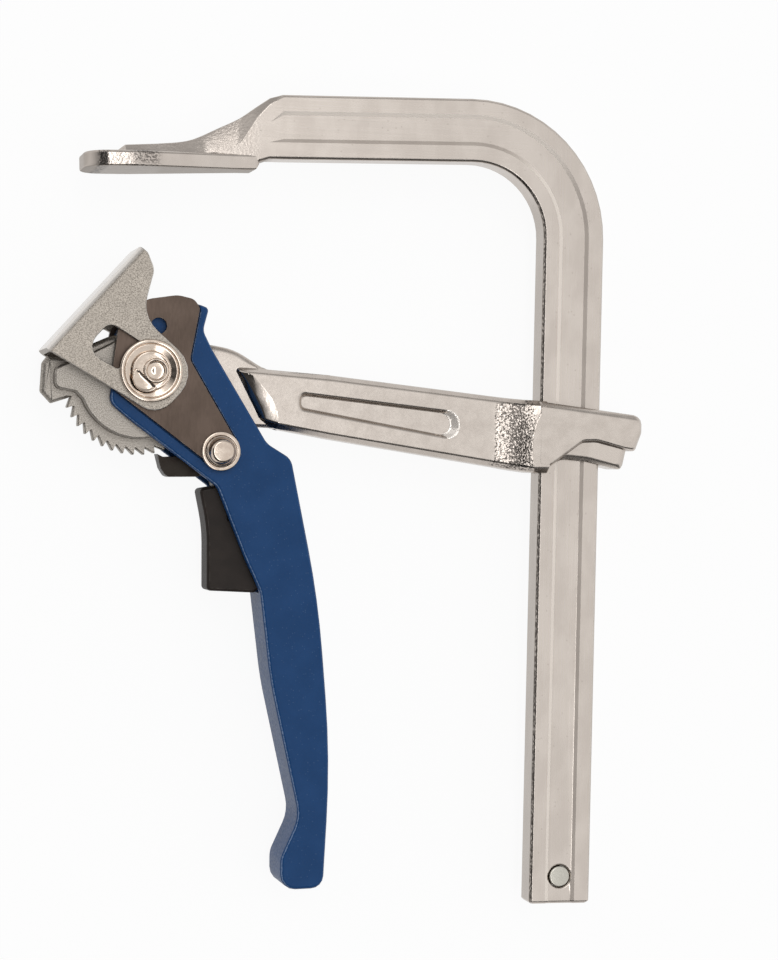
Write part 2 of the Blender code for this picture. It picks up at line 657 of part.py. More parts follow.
def handle(look):
    half, edge = HANDLE_THICK / 2, HANDLE_EDGE
    levels = ((half, edge), (half - 0.3 * edge, 0.3 * edge), (half - edge, 0))
    rings = [[(x, y, z) for x, y in offset(about_pivot(handle_outline()), -inset)] for z, inset in levels]
    rings += [[(x, y, -z) for x, y, z in ring] for ring in reversed(rings)]
    body = lofted("handle", rings, look)
    boolean(body, channel_cutter())
    recess = offset(about_pivot(cheek_outline()), CHEEK_GAP)
    for name, side in (("recess_front", 1), ("recess_rear", -1)):
        low, high = between(CHEEK_SEAT, HANDLE_THICK, side)
        boolean(body, plate(name, recess, low, high))
    reach = HANDLE_THICK
    boolean(body, disc("handle_shaft_hole", CAP_PIVOT, CAP_PIN_RADIUS + RUNNING, -reach, reach, sides=28))
    boolean(body, disc("handle_rivet_hole", PAWL_PIVOT, RIVET_RADIUS + RUNNING, -reach, reach, sides=20))
    return body


def cheek_plate(suffix, side, look):
    low, high = between(CHEEK_IN, CHEEK_OUT, side)
    cheek = plate(f"cheek_plate_{suffix}", about_pivot(cheek_outline()), low, high, look)
    drilled = Vector((PIVOT.x + CHEEK_HOLE_X, PIVOT.y + CHEEK_HOLE_Y, 0))
    holes = (("shaft", CAP_PIVOT, CAP_PIN_RADIUS + RUNNING, 28),
             ("rivet", PAWL_PIVOT, RIVET_RADIUS + RUNNING, 20), ("drilled", drilled, CHEEK_HOLE_RADIUS, 20))
    for name, centre, radius, sides in holes:
        boolean(cheek, disc(f"cheek_{suffix}_{name}_hole", centre, radius, low - 1, high + 1, sides=sides))
    return cheek


def half_moon(name, low, high):
    """The half disc left raised on the shaft's end, with a sloping rim."""
    straight = math.radians(HALF_MOON_ANGLE)
    along = Vector((math.cos(straight), math.sin(straight), 0))
    centre = CAP_PIVOT + Vector((HALF_MOON_X, HALF_MOON_Y, 0))
    across = Vector((along.y, -along.x, 0))
    outline = []
    for i in range(13):
        turn = math.radians(15 * i)
        place = centre + HALF_MOON_RADIUS * (math.cos(turn) * along + math.sin(turn) * across)
        outline.append((place.x, place.y))
    rim = 0.5
    levels = [(low, 0), (high - rim, 0), (high, -rim)]
    if low < 0:
        levels = [(low, -rim), (low + rim, 0), (high, 0)]
    return lofted(name, [[(x, y, z) for x, y in offset(outline, grow)] for z, grow in levels])


def shaft_head(suffix, side):
    """The formed end of the shaft: a disc with a dished boss off its centre and the half disc."""
    base = HEAD_IN + SHAFT_HEAD
    low, high = between(HEAD_IN, base, side)
    head = disc(f"shaft_head_{suffix}", CAP_PIVOT, SHAFT_HEAD_RADIUS, low, high, sides=28)
    boss_centre = CAP_PIVOT + Vector((BOSS_OFFSET, 0, 0))
    low, high = between(base - 0.3, base + BOSS_RISE, side)
    boss = disc(f"shaft_boss_{suffix}", boss_centre, BOSS_RADIUS, low, high, sides=24)
    low, high = between(base + BOSS_RISE - BOSS_DISH, base + BOSS_RISE + 1, side)
    dish = disc(f"boss_dish_{suffix}", boss_centre, BOSS_RADIUS - 0.9, low, high, sides=24)
    low, high = between(base - 0.3, base + HALF_MOON_RISE, side)
    return [(head, "UNION"), (boss, "UNION"), (dish, "DIFFERENCE"),
            (half_moon(f"half_moon_{suffix}", low, high), "UNION")]


def eccentric_shaft(look):
    """A thick journal in the hub, with thinner ends off its centre that carry the cap."""
    half, reach = HUB_THICK / 2, HEAD_IN + 0.4
    shaft = disc("eccentric_shaft", PIVOT, JOURNAL_RADIUS, -half, half, look, sides=36)
    boolean(shaft, disc("shaft_ends", CAP_PIVOT, CAP_PIN_RADIUS, -reach, reach, sides=28), "UNION")
    for suffix, side in (("front", 1), ("rear", -1)):
        for shape, operation in shaft_head(suffix, side):
            boolean(shaft, shape, operation)
    return shaft


def cap_washer(suffix, side, look):
    """A dished washer: a raised round rim, a groove, and a cone down to the shaft."""
    bore = CAP_PIN_RADIUS + RUNNING
    low = WASHER_IN
    profile = [
        (bore, low), (WASHER_RADIUS, low), (WASHER_RADIUS, low + WASHER_RIM - 0.5),
        (WASHER_RADIUS - 0.4, low + WASHER_RIM), (WASHER_RADIUS - 1.2, low + WASHER_RIM),
        (WASHER_RADIUS - 1.6, low + WASHER_GROOVE), (WASHER_RADIUS - 2.0, low + WASHER_RIM - 0.1),
        (WASHER_RADIUS - 4.0, low + WASHER_SHEET), (bore, low + WASHER_SHEET)]
    return turned_piece(f"cap_washer_{suffix}", CAP_PIVOT,
                        [(radius, height * side) for radius, height in profile], look, sides=30)


# Pressure cap, drawn in its own frame: the washers' centre at the origin and the pressing face up
def cap_channel(look):
    """The folded strip before its sides are trimmed: two sides and a web with round bends."""
    inner_bend = CAP_BEND - CAP_SHEET
    outside = rounded([
        (-CAP_OUT, -CAP_REACH, 0), (CAP_OUT, -CAP_REACH, 0), (CAP_OUT, CAP_REACH, CAP_BEND),
        (-CAP_OUT, CAP_REACH, CAP_BEND)], steps=5)
    inside = rounded([
        (-CAP_IN, -CAP_REACH - 2, 0), (CAP_IN, -CAP_REACH - 2, 0),
        (CAP_IN, CAP_REACH - CAP_SHEET, inner_bend), (-CAP_IN, CAP_REACH - CAP_SHEET, inner_bend)], steps=3)
    long = CAP_RIGHT + CAP_LEFT
    outer = lofted("pressure_cap", [[(x, y, z) for z, y in outside] for x in (-long, long)], look)
    boolean(outer, lofted("cap_inside", [[(x, y, z) for z, y in inside] for x in (-long - 1, long + 1)]))
    return outer


def cap_sides():
    """The side view that both sides are cut to: an eye round the shaft under a long, uneven top."""
    eye = CAP_EYE_RADIUS
    return rounded([
        (-CAP_LEFT, CAP_REACH + 3, 0), (-CAP_LEFT, CAP_REACH - 2, 6), (-eye + 0.2, 1.0, 20),
        (-eye + 3, -eye, 12.5), (eye - 0.8, -eye, 13), (eye - 1.1, 16.5, 13), (CAP_RIGHT - 3.0, 24.9, 6),
        (CAP_RIGHT, 31.0, 4), (CAP_RIGHT, CAP_REACH + 3, 0)], steps=5)


def cap_window():
    """The teardrop window on the left of the shaft, wide towards the pressing face."""
    return rounded([
        (-11.6, 24.0, 5.5), (2.8, 23.8, 4.0), (5.4, 9.4, 1.5), (-8.0, 9.4, 1.5)], steps=5)


def pressure_cap(look):
    cap = cap_channel(look)
    wide = CAP_OUT + 4
    boolean(cap, plate("cap_side_view", cap_sides(), -wide, wide), "INTERSECT")
    boolean(cap, plate("cap_window", cap_window(), -wide - 1, wide + 1))
    boolean(cap, disc("cap_shaft_hole", Vector((0, 0, 0)), CAP_PIN_RADIUS + RUNNING, -wide, wide, sides=28))
    return cap


# Pawl and trigger, drawn about the pawl pivot
def tail_outline(grow=0.0):
    half = TAIL_WIDTH / 2 + grow
    strip = [(0, -half), (TAIL_LENGTH + grow, -half), (TAIL_LENGTH + grow, half), (0, half)]
    return [turned(x, y, TAIL_ANGLE) for x, y in strip]


def pawl(look):
    """A flat lever: a nose that fits the ratchet's gap, a boss on the rivet and a tail in the trigger.
    The nose is drawn in the gap, then the pawl is turned back clear of the tooth tips."""
    half = PAWL_THICK / 2
    nose = rounded([
        (-23.2, 0.5, 0), (-22.2, -5.0, 1), (-20.3, -8.6, 2.5), (-8.0, -9.3, 3), (2.0, -6.5, 0), (4.0, 4.5, 3),
        (-6.0, 3.5, 4), (-15.5, -0.9, 4), (-21.0, -0.8, 1)], steps=3)
    blade = [turned(x, y, PAWL_ENGAGE) for x, y in nose]
    body = plate("pawl", blade, -half, half, look)
    boss = disc("pawl_boss", Vector((0, 0, 0)), PAWL_BOSS_RADIUS, -half + 0.1, half - 0.1, sides=28)
    boolean(body, boss, "UNION")
    boolean(body, plate("pawl_tail", tail_outline(), -half + 0.2, half - 0.2), "UNION")
    boolean(body, disc("pawl_bore", Vector((0, 0, 0)), RIVET_RADIUS + RUNNING, -half - 1, half + 1, sides=20))
    at_pin = Vector((*polar(PIN_REACH, TAIL_ANGLE), 0))
    boolean(body, disc("tail_pin_hole", at_pin, PIN_RADIUS + RUNNING, -half - 1, half + 1, sides=12))
    return body


def trigger(look):
    """The moulded finger piece: a curved front edge, and a slot from the rear that holds the pawl's tail."""
    half = TRIGGER_THICK / 2
    outline = rounded([
        (-6.9, -14.5, 1.5), (-3.6, -29.5, 60), (-3.1, -53.6, 1.5), (15.6, -54.2, 1.5), (19.6, -50.0, 3),
        (9.5, -18.5, 6), (3.4, -12.6, 3)], steps=3)
    body = plate("trigger", outline, -half, half, look, edge=TRIGGER_EDGE)
    slot = PAWL_THICK / 2 + SEAT
    boolean(body, plate("trigger_slot", tail_outline(SEAT), -slot, slot))
    reach = TAIL_LENGTH - TAIL_WIDTH / 2
    rear = [turned(x, y, TAIL_ANGLE) for x, y in ((0, 0), (reach, 0), (reach, reach), (0, reach))]
    boolean(body, plate("trigger_rear_opening", rear, -slot + 0.05, slot - 0.05))
    room = PAWL_BOSS_RADIUS + SLIDING
    boolean(body, disc("boss_room", Vector((0, 0, 0)), room, -half, half, sides=28))
    at_pin = Vector((*polar(PIN_REACH, TAIL_ANGLE), 0))
    boolean(body, disc("trigger_pin_hole", at_pin, PIN_RADIUS + RUNNING, -half - 1, half + 1, sides=12))
    return body


def trigger_pin(look):
    half = TRIGGER_THICK / 2 - 0.4
    place = Vector((*polar(PIN_REACH, TAIL_ANGLE), 0))
    return disc("trigger_pin", place, PIN_RADIUS, -half, half, look, sides=12)


def pawl_rivet(look):
    """A straight shank with a head formed over a washer at each end, a low cone on a round collar."""
    under = CHEEK_OUT + RIVET_WASHER + 2 * SEAT
    top = under + RIVET_HEAD
    half = [(RIVET_RADIUS, under), (RIVET_HEAD_RADIUS, under), (RIVET_HEAD_RADIUS, under + RIVET_COLLAR),
            (RIVET_HEAD_RADIUS - 0.5, under + RIVET_COLLAR + 0.3), (RIVET_TOP_RADIUS, top - 0.3),
            (RIVET_TOP_RADIUS - 0.4, top)]
    return lathe("pawl_rivet", PAWL_PIVOT, [(r, -z) for r, z in reversed(half)] + half, look)


def rivet_washer(suffix, side, look):
    bore = RIVET_RADIUS + RUNNING
    low = CHEEK_OUT + SEAT
    high = low + RIVET_WASHER
    profile = [(bore, low), (RIVET_WASHER_RADIUS, low), (RIVET_WASHER_RADIUS, high - 0.4),
               (RIVET_WASHER_RADIUS - 0.4, high), (bore, high)]
    return turned_piece(f"rivet_washer_{suffix}", PAWL_PIVOT,
                        [(radius, height * side) for radius, height in profile], look, sides=28)


def pawl_spacer(look):
    """The tube that keeps the pawl in the middle of the channel, on the side without the spring."""
    near, far = -PAWL_THICK / 2 - SEAT, -CHANNEL_HALF + SEAT
    bore = RIVET_RADIUS + RUNNING
    profile = [(bore, far), (bore + SPACER_WALL, far), (bore + SPACER_WALL, near), (bore, near)]
    return turned_piece("pawl_spacer", PAWL_PIVOT, profile, look, sides=20)


def pawl_spring(look):
    """A torsion spring on the rivet that presses the pawl's nose towards the ratchet, with a short leg
    at each end."""
    radius = RIVET_RADIUS + SPRING_CLEARANCE + SPRING_WIRE / 2
    low = PAWL_THICK / 2 + SEAT + SPRING_WIRE / 2
    high = CHANNEL_HALF - SEAT - SPRING_WIRE / 2
    steps = 16 * SPRING_TURNS
    leg = 9.0
    path = []
    for i in range(steps + 1):
        angle = -60 - 360 * SPRING_TURNS * i / steps
        path.append(Vector((*polar(radius, angle), low + (high - low) * i / steps)))
    path.insert(0, path[0] + Vector((*polar(leg, 30), 0)))
    path.append(path[-1] + Vector((*polar(leg, -150), 0)))
    curve = bpy.data.curves.new("pawl_spring", "CURVE")
    curve.dimensions = "3D"
    curve.bevel_depth = SPRING_WIRE / 2 * MM
    curve.bevel_resolution = 1
    curve.use_fill_caps = True
    spline = curve.splines.new("POLY")
    spline.points.add(len(path) - 1)
    for point, place in zip(spline.points, path):
        point.co = (*(place * MM), 1)
    spring = bpy.data.objects.new("pawl_spring", curve)
    curve.materials.append(look)
    bpy.context.scene.collection.objects.link(spring)
    return spring


def main():
    for obj in list(bpy.data.objects):
        bpy.data.objects.remove(obj)
    plated = material("plated_steel", (0.58, 0.54, 0.49), 0.32, 1.0)
    forged = material("forged_plated_steel", (0.50, 0.47, 0.43), 0.42, 1.0)
    folded = material("folded_plated_steel", (0.46, 0.44, 0.41), 0.48, 1.0)
    browned = material("browned_steel", (0.16, 0.13, 0.10), 0.45, 1.0)
    nickel = material("nickel_plated_steel", (0.62, 0.53, 0.46), 0.22, 1.0)
    painted = material("blue_paint", (0.018, 0.058, 0.162), 0.38, 0.0)
    black = material("black_moulding", (0.035, 0.026, 0.022), 0.5, 0.0)
    dark = material("blackened_steel", (0.05, 0.043, 0.038), 0.45, 1.0)
    wire = material("spring_steel", (0.45, 0.44, 0.43), 0.3, 1.0)

    rail_bar(plated)
    stop_pin(nickel)

    slide_place = Vector((RAIL_AXIS, PIVOT.y, 0))
    slide = frame_at("arm_slide", slide_place)
    lever = frame_at("lever_pivot", PIVOT, parent=(slide, slide_place))
    cap_frame = frame_at("cap_swivel", CAP_PIVOT, CAP_TILT, parent=(lever, PIVOT))
    pawl_frame = frame_at("pawl_pivot", PAWL_PIVOT, parent=(lever, PIVOT))

    carried(sliding_arm(forged), slide, slide_place)
    for piece in (handle(painted), eccentric_shaft(nickel), pawl_rivet(nickel), pawl_spacer(dark)):
        carried(piece, lever, PIVOT)
    for suffix, side in (("front", 1), ("rear", -1)):
        carried(cheek_plate(suffix, side, browned), lever, PIVOT)
        carried(rivet_washer(suffix, side, nickel), lever, PIVOT)
        carried(cap_washer(suffix, side, nickel), cap_frame, CAP_PIVOT, CAP_TILT)
    carried(pressure_cap(folded), cap_frame)
    spring = pawl_spring(wire)
    spring.parent = lever
    spring.location = (PAWL_PIVOT - PIVOT) * MM
    for piece in (pawl(dark), trigger(black), trigger_pin(dark)):
        carried(piece, pawl_frame)


main()
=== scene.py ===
"""Looks of a one-handed lever bar clamp that lies flat: bright plated rail, forged sliding arm, blue painted
handle, browned cheek plates, folded pressure cap and nickel plated washers and rivets."""

import json
import math
from functools import reduce

import bmesh
import bpy
from mathutils import Matrix, Vector


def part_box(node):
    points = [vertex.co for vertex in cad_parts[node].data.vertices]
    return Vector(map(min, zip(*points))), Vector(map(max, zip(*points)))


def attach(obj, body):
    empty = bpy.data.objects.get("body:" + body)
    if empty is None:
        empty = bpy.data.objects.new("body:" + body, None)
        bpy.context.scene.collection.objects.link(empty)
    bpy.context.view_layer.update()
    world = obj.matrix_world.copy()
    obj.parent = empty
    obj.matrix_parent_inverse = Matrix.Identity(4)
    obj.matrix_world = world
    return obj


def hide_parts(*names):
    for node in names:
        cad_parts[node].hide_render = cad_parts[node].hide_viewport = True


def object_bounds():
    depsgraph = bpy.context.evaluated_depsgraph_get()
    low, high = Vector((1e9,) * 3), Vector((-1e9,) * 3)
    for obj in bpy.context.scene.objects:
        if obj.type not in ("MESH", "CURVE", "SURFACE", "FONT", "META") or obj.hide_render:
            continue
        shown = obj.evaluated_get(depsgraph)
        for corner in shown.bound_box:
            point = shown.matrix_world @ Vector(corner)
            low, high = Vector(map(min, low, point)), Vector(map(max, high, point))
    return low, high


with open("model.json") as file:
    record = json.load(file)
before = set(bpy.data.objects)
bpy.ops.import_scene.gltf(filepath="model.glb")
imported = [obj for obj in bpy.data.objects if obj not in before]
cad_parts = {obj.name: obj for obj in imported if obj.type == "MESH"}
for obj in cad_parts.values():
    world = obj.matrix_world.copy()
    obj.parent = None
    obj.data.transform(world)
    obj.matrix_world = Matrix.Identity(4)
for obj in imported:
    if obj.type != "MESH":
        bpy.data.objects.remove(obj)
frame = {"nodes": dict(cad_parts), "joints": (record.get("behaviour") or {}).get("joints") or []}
cad_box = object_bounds()

MM = 0.001
WELD = 0.02 * MM  # closer corners of a copied node are one
FLAT = math.radians(0.8)  # faces of a copied node that lie this close to one plane are one face
CORNER = math.radians(26)  # edges sharper than this are rounded
SOFT = math.radians(40)  # edges less sharp than this shade as one surface
EDGES = "rounded edge"  # the value at each vertex that marks the rounded edges

PRESSING = (-0.751, 0.660, 0)  # the way that the cap's pressing face looks
STAIN_AND_SHADE = (0.25, 0.22, 0.19, 1)  # real stain in the bar's pits, painted shade on its side walls, and the darker clamping face

HALF_MOON_RADIUS = 5.5  # mm, the half disc on the shaft's end
HALF_MOON_CENTRE = Vector((-1.8, -2.7))  # mm, the middle of its straight side, from the shaft's axis
HALF_MOON_SLOPE = math.radians(-41.5)  # its straight side
HALF_MOON_STEPS = 56
HALF_MOON_CORNER = 12  # the higher, the sharper its two corners
HALF_MOON_LEVELS = (  # share of the outline, and mm above it
    (1.0, 0.0), (1.0, 0.6), (0.975, 0.78), (0.93, 0.85), (0.87, 0.78), (0.8, 0.5), (0.66, 0.28), (0.35, 0.22))

FLOOR_GAP = 0.3 * MM  # between the clamp's lowest point and the floor
FLOOR_WHITE = 0.93  # the floor's share of plain white; the rest shows the clamp's shadow
DOME_LEVEL = 1.06  # the dome's strength where nothing darkens it

pins = {joint["name"]: Vector(joint["pos_m"]) for joint in frame["joints"] if "pos_m" in joint}
SHAFT = pins["cap_swivel"]
LEVER = pins["lever_pivot"]
RIVET = pins["pawl_pivot"]
SIDES = (("front", 1), ("rear", -1))
WASHER_FOOT, WASHER_TOP = (abs(corner.z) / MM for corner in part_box("cap_washer_front"))  # mm from the middle


# Node trees
def feed(tree, socket, value):
    """Gives a socket a plain value, or a link from another node."""
    if isinstance(value, bpy.types.NodeSocket):
        tree.links.new(value, socket)
    else:
        socket.default_value = value


def place(tree, kind, inputs=None, **settings):
    """Adds a node with its settings, and feeds its inputs."""
    made = tree.nodes.new(kind)
    for name, value in settings.items():
        setattr(made, name, value)
    for name, value in (inputs or {}).items():
        feed(tree, made.inputs[name], value)
    return made


def maths(tree, operation, a, b=0.0, clamp=False):
    return place(tree, "ShaderNodeMath", {0: a, 1: b}, operation=operation, use_clamp=clamp).outputs[0]


def times(tree, *values):
    return reduce(lambda a, b: maths(tree, "MULTIPLY", a, b), values)


def largest(tree, *values):
    return reduce(lambda a, b: maths(tree, "MAXIMUM", a, b), values)


def vector_maths(tree, operation, a, b=(0, 0, 0)):
    return place(tree, "ShaderNodeVectorMath", {0: a, 1: b}, operation=operation).outputs[0]


def coordinates(tree, kind):
    return place(tree, "ShaderNodeTexCoord").outputs[kind]


def axes_of(tree, vector):
    return place(tree, "ShaderNodeSeparateXYZ", {0: vector}).outputs


def ramp(tree, value, low, high, to_low=0.0, to_high=1.0):
    """The value's stretch from low to high, spread smoothly over another."""
    return place(tree, "ShaderNodeMapRange", {0: value, 1: low, 2: high, 3: to_low, 4: to_high},
                 interpolation_type="SMOOTHSTEP").outputs[0]


def spread(tree, noise, to_low=0.0, to_high=1.0):
    """A noise, whose values lie mostly between 0.3 and 0.7, spread over another stretch."""
    return ramp(tree, noise, 0.3, 0.7, to_low, to_high)


def between(tree, factor, a, b):
    """A number between two others."""
    return place(tree, "ShaderNodeMix", {0: factor, 2: a, 3: b}).outputs[0]


def blend(tree, factor, a, b):
    """A colour between two others."""
    made = place(tree, "ShaderNodeMix", data_type="RGBA")
    for name, value in (("Factor_Float", factor), ("A_Color", a), ("B_Color", b)):
        feed(tree, next(s for s in made.inputs if s.identifier == name), value)
    return next(s for s in made.outputs if s.identifier == "Result_Color")


def layered(tree, tint, *layers):
    """Lays colours over a tint, each by its mask and share."""
    for mask, share, colour in layers:
        tint = blend(tree, times(tree, mask, share), tint, colour)
    return tint


def roughened(tree, rough, *layers):
    """Lays other roughnesses over one, each by its mask."""
    for mask, value in layers:
        rough = between(tree, mask, rough, value)
    return rough


def bump(tree, height, depth, strength, below=None):
    """The normal over a height whose full depth is given in mm, on top of another normal if there is one."""
    inputs = {"Height": height, "Distance": depth * MM, "Strength": strength}
    if below:
        inputs["Normal"] = below
    return place(tree, "ShaderNodeBump", inputs).outputs["Normal"]


# Shared effects
def shader_group(name, inputs, output):
    """A node group with named inputs, which are numbers or vectors, and one number as its output."""
    group = bpy.data.node_groups.new(name, "ShaderNodeTree")
    for label, value in inputs.items():
        kind = "NodeSocketFloat" if isinstance(value, float) else "NodeSocketVector"
        socket = group.interface.new_socket(label, in_out="INPUT", socket_type=kind)
        socket.default_value = value
    group.interface.new_socket(output, in_out="OUTPUT", socket_type="NodeSocketFloat")
    return group, group.nodes.new("NodeGroupInput").outputs, group.nodes.new("NodeGroupOutput").inputs


def grain_group():
    """Noise on the object's own coordinates, drawn out along an axis where its stretch is below 1."""
    group, given, out = shader_group("grain", {"Size": 0.001, "Stretch": (1, 1, 1), "Detail": 3.0}, "Value")
    squeezed = vector_maths(group, "MULTIPLY", coordinates(group, "Object"), given["Stretch"])
    noise = place(group, "ShaderNodeTexNoise", {
        "Vector": squeezed, "Scale": maths(group, "DIVIDE", 1.0, given["Size"]), "Detail": given["Detail"]})
    feed(group, out["Value"], noise.outputs[0])
    return group


def specks_group():
    """Small round grains, scattered: 1 in the middle of a grain and 0 between them."""
    group, given, out = shader_group("specks", {"Size": 0.0005, "Share": 0.3}, "Mask")
    cells = place(group, "ShaderNodeTexVoronoi", {
        "Vector": coordinates(group, "Object"), "Scale": maths(group, "DIVIDE", 1.0, given["Size"]),
        "Randomness": 1.0}).outputs
    chance = place(group, "ShaderNodeSeparateColor", {0: cells["Color"]}).outputs[0]
    chosen = maths(group, "LESS_THAN", chance, given["Share"])
    feed(group, out["Mask"], times(group, ramp(group, cells["Distance"], 0.12, 0.42, 1.0, 0.0), chosen))
    return group


def edge_wear_group():
    """The rounded edges of a piece, broken up by noise."""
    group, given, out = shader_group("edge_wear", {"Patch Size": 0.003, "Broken": 0.5}, "Mask")
    edge = place(group, "ShaderNodeAttribute", attribute_name=EDGES).outputs["Fac"]
    patches = place(group, "ShaderNodeTexNoise", {
        "Vector": coordinates(group, "Object"), "Scale": maths(group, "DIVIDE", 1.0, given["Patch Size"]),
        "Detail": 4.0}).outputs[0]
    kept = times(group, ramp(group, patches, 0.35, 0.65), given["Broken"])
    feed(group, out["Mask"], maths(group, "SUBTRACT", edge, kept, clamp=True))
    return group


def leaning_group():
    """Gently sloping faces that lean towards the hub: 1 on the ramp, the collar's hollow and pocket ends."""
    group, given, out = shader_group("leaning", {"Least": 0.05}, "Mask")
    facing = axes_of(group, coordinates(group, "Normal"))
    lean = maths(group, "SUBTRACT", times(group, facing[0], -1.0), given["Least"])
    level = maths(group, "ABSOLUTE", facing[2])
    feed(group, out["Mask"], times(group, ramp(group, lean, 0.0, 0.07), ramp(group, level, 0.45, 0.75)))
    return group


def zone_group():
    """A soft box round a place: 1 inside, falling to 0 at its walls."""
    group, given, out = shader_group(
        "zone", {"Centre": (0, 0, 0), "Half Size": (1, 1, 1), "Soft": 0.4}, "Mask")
    away = vector_maths(group, "SUBTRACT", coordinates(group, "Object"), given["Centre"])
    share = vector_maths(group, "DIVIDE", away, given["Half Size"])
    furthest = largest(group, *axes_of(group, vector_maths(group, "ABSOLUTE", share)))
    inner = maths(group, "SUBTRACT", 1.0, given["Soft"])
    feed(group, out["Mask"], ramp(group, furthest, inner, 1.0, 1.0, 0.0))
    return group


GRAIN, SPECKS, EDGE_WEAR, LEANING, ZONE = (
    grain_group(), specks_group(), edge_wear_group(), leaning_group(), zone_group())


def use(tree, group, **inputs):
    """Places a group, feeds its inputs and gives its output."""
    made = place(tree, "ShaderNodeGroup", node_tree=group)
    for name, value in inputs.items():
        feed(tree, made.inputs[name.replace("_", " ").title()], value)
    return made.outputs[0]


def grain(tree, size, stretch=(1, 1, 1), detail=3.0):
    """Noise of a size in mm."""
    return use(tree, GRAIN, size=size * MM, stretch=stretch, detail=detail)


def specks(tree, size, share):
    """Specks of a size in mm."""
    return use(tree, SPECKS, size=size * MM, share=share)


def edge_wear(tree, patch_size, broken):
    """Worn edges with patches of a size in mm."""
    return use(tree, EDGE_WEAR, patch_size=patch_size * MM, broken=broken)


def zone(tree, centre, half_size, soft):
    """The mask of a soft box, given in mm."""
    return use(tree, ZONE, centre=[c * MM for c in centre], half_size=[h * MM for h in half_size], soft=soft)


def new_look(name, **plain):
    """A material and its node tree, with plain values on the shader's own sockets."""
    look = bpy.data.materials.new(name)
    look.use_nodes = True
    for label, value in plain.items():
        look.node_tree.nodes["Principled BSDF"].inputs[label.replace("_", " ")].default_value = value
    return look, look.node_tree


def finished(look, **changing):
    """The material, with what changes over its surface fed to its shader."""
    shader = look.node_tree.nodes["Principled BSDF"]
    for label, value in changing.items():
        feed(look.node_tree, shader.inputs[label.replace("_", " ")], value)
    return look


# Metals
def painted_chamfer_shade(tree, facing):
    """Painted shade in patches on the chamfer along the rail's inner side, where it faces the throat, standing
    in for the dark that the chamfer reflects.
    """
    inner_edge = zone(tree, (165, -140, 0), (7.5, 149, 20), 0.02)
    towards_throat = ramp(tree, facing[0], -0.30, -0.10, 1.0, 0.0)
    not_a_wall = ramp(tree, maths(tree, "ABSOLUTE", facing[2]), 0.3, 0.5)
    patches = ramp(tree, grain(tree, 0.6, (1, 0.5, 1)), 0.34, 0.56)
    return times(tree, towards_throat, not_a_wall, inner_edge, patches)


def bar_groove(tree, facing):
    """The slopes of the pressed groove, found by their lean, and those of them that face +X or -Y, which get a
    painted highlight.
    """
    along = axes_of(tree, coordinates(tree, "Object"))[0]
    slopes = times(tree, ramp(tree, facing[2], 0.905, 0.920), ramp(tree, facing[2], 0.935, 0.950, 1.0, 0.0),
                   ramp(tree, along, 0.050, 0.070))
    lit_side = largest(tree, ramp(tree, facing[1], -0.3, -0.1, 1.0, 0.0), ramp(tree, facing[0], 0.1, 0.3))
    return slopes, times(tree, slopes, lit_side)


def jaw_flecks(tree):
    """Dark flecks at the start and the end of the hammered jaw."""
    ends = largest(tree, zone(tree, (-7.8, 3, 0), (2.6, 8, 30), 0.5),
                   zone(tree, (8.5, 4.5, 0), (7, 4, 30), 0.6))
    return times(tree, ends, ramp(tree, grain(tree, 0.7, detail=5.0), 0.44, 0.56))


def plated_steel():
    """Drawn bar under bright plating: fine lines along it, painted shade on the inner chamfer and side walls,
    a rough groove with a painted highlight on some of its slopes, and a hammered jaw."""
    look, tree = new_look("plated_steel", Metallic=1.0)
    facing = axes_of(tree, coordinates(tree, "Normal"))
    arm = zone(tree, (80, 50, 0), (90, 70, 100), 0.15)
    jaw = zone(tree, (4, 3, 0), (12.6, 4.5, 30), 0.3)
    tip = zone(tree, (-12.5, 4, 0), (3.6, 10, 30), 0.02)
    neck = zone(tree, (30, 15.5, 0), (27, 10.5, 30), 0.5)
    under_jaw = zone(tree, (15, 0, 0), (45, 8, 30), 0.1)
    clamping = times(tree, under_jaw, ramp(tree, facing[1], -0.95, -0.7, 0.6, 0.0))
    # Painted shade: the side walls darkened by their direction, standing in for the dark they reflect
    painted_wall_shade = ramp(tree, maths(tree, "ABSOLUTE", facing[0]), 0.8, 0.95, 0.0, 0.3)
    groove, painted_highlight = bar_groove(tree, facing)
    lines = between(tree, arm, grain(tree, 0.5, (1, 0.012, 1), 4.0), grain(tree, 0.5, (0.012, 1, 1), 4.0))
    clouds = ramp(tree, grain(tree, 9, (1, 0.5, 1), 5.0), 0.35, 0.65)
    tint = layered(
        tree, blend(tree, clouds, (0.505, 0.452, 0.408, 1), (0.555, 0.500, 0.453, 1)),
        (specks(tree, 1.1, 0.04), 0.3, STAIN_AND_SHADE),
        # Painted shade on the inner chamfer
        (painted_chamfer_shade(tree, facing), 0.85, (0.07, 0.06, 0.052, 1)),
        # Painted shade on the side walls, and the clamping face made darker
        (largest(tree, painted_wall_shade, clamping), 1.0, STAIN_AND_SHADE),
        # Painted highlight on the groove's slopes that face +X or -Y
        (painted_highlight, 0.8, (0.86, 0.79, 0.72, 1)),
        (jaw_flecks(tree), 0.8, (0.07, 0.06, 0.055, 1)))
    rough = roughened(
        tree, spread(tree, lines, 0.23, 0.28),
        (jaw, 0.12), (largest(tree, tip, times(tree, neck, 0.5)), 0.45), (clamping, 0.6), (groove, 0.62))
    hammered = times(tree, grain(tree, 1.1, (0.8, 1, 1), 4.0), jaw)
    textured = times(tree, grain(tree, 0.8), neck)
    normal = bump(tree, maths(tree, "ADD", hammered, textured), 0.25, 0.9, bump(tree, lines, 0.006, 0.35))
    # Less metal under the painted highlight, so that it shows pale
    metallic = maths(tree, "SUBTRACT", 1.0, times(tree, painted_highlight, 0.5))
    return finished(look, Base_Color=tint, Roughness=rough, Metallic=metallic, Normal=normal)


